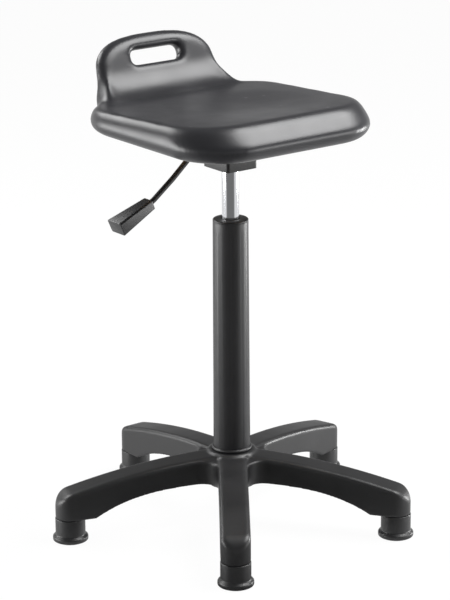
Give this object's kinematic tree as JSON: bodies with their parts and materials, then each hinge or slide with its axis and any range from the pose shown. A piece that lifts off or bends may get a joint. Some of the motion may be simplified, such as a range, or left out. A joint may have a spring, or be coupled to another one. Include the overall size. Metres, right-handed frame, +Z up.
{
  "type": "laboratory stool",
  "caption": "Height-adjustable laboratory stool: moulded black seat with a low slotted back lip, release lever, chrome gas lift and a star base on glides.",
  "frame": {"origin": "on the column's axis at floor level, in the plane of the glides' soles", "axes": "+Z up along the column, -Y the way the sitter faces, +X to the sitter's left"},
  "size_m": [0.5906, 0.5645, 0.7882],
  "materials": {
    "nylon": "fine moulded grain, semi-matt",
    "foot_plastic": "moulded, semi-matt",
    "zinc_steel": "zinc plated",
    "black_steel": "black powder coat",
    "cover_plastic": "smooth, satin",
    "white_plastic": "natural acetal",
    "bearing_steel": "hardened, polished",
    "black_rubber": "matt",
    "ground_steel": "ground",
    "alloy": "turned",
    "chrome": "bright chrome",
    "brass": "turned",
    "handle_plastic": "moulded, satin",
    "plywood": "plain birch plywood",
    "soft_skin": "self-skinned polyurethane foam, fine grain, satin"
  },
  "bodies": {
    "base": {"star_base": "nylon", "glide_1": "foot_plastic", "glide_pin_1": "zinc_steel", "glide_2": "foot_plastic", "glide_pin_2": "zinc_steel", "glide_3": "foot_plastic", "glide_pin_3": "zinc_steel", "glide_4": "foot_plastic", "glide_pin_4": "zinc_steel", "glide_5": "foot_plastic", "glide_pin_5": "zinc_steel", "column_tube": "black_steel", "guide_bush": "white_plastic", "column_cover": "cover_plastic", "column_cap": "cover_plastic", "lower_race": "bearing_steel"},
    "spindle": {"piston_rod": "ground_steel", "piston": "alloy", "piston_seal": "black_rubber", "upper_race": "bearing_steel", "buffer": "black_rubber", "rod_clip": "zinc_steel"},
    "cage": {"ball_cage": "white_plastic", "bearing_balls": "bearing_steel"},
    "seat": {"gas_cylinder": "chrome", "rod_guide": "alloy", "rod_seal": "black_rubber", "valve_body": "brass", "taper_socket": "black_steel", "mechanism_box": "black_steel", "seat_plate": "black_steel", "plate_bolts": "zinc_steel", "plate_washers": "zinc_steel", "tee_nuts": "zinc_steel", "seat_board": "plywood", "seat_pad": "soft_skin", "pivot_pin": "zinc_steel", "pin_spacers": "white_plastic"},
    "lever": {"lever_rod": "black_steel", "lever_handle": "handle_plastic"},
    "button": {"release_pin": "ground_steel"}
  },
  "joints": [
    {"name": "seat_swivel", "type": "hinge", "parent": "base", "child": "spindle", "pos_m": [0, 0, 0], "axis": [0, 0, 1], "continuous": true},
    {"name": "cage_spin", "type": "hinge", "parent": "base", "child": "cage", "pos_m": [0, 0, 0], "axis": [0, 0, 1], "continuous": true},
    {"name": "height_slide", "type": "slide", "parent": "spindle", "child": "seat", "axis": [0, 0, 1], "range_m": [-0.07, 0.19]},
    {"name": "lever_pivot", "type": "hinge", "parent": "seat", "child": "lever", "pos_m": [-0.02, 0, 0.6426], "axis": [0, 1, 0], "range_deg": [0, 7], "stiffness_Nm_per_rad": 8},
    {"name": "button_slide", "type": "slide", "parent": "seat", "child": "button", "axis": [0, 0, -1], "range_m": [0, 0.0027]}
  ],
  "couplings": [
    {"joint": "cage_spin", "follows": "seat_swivel", "ratio": 0.5},
    {"joint": "button_slide", "follows": "lever_pivot", "m_per_rad": 0.0215}
  ]
}
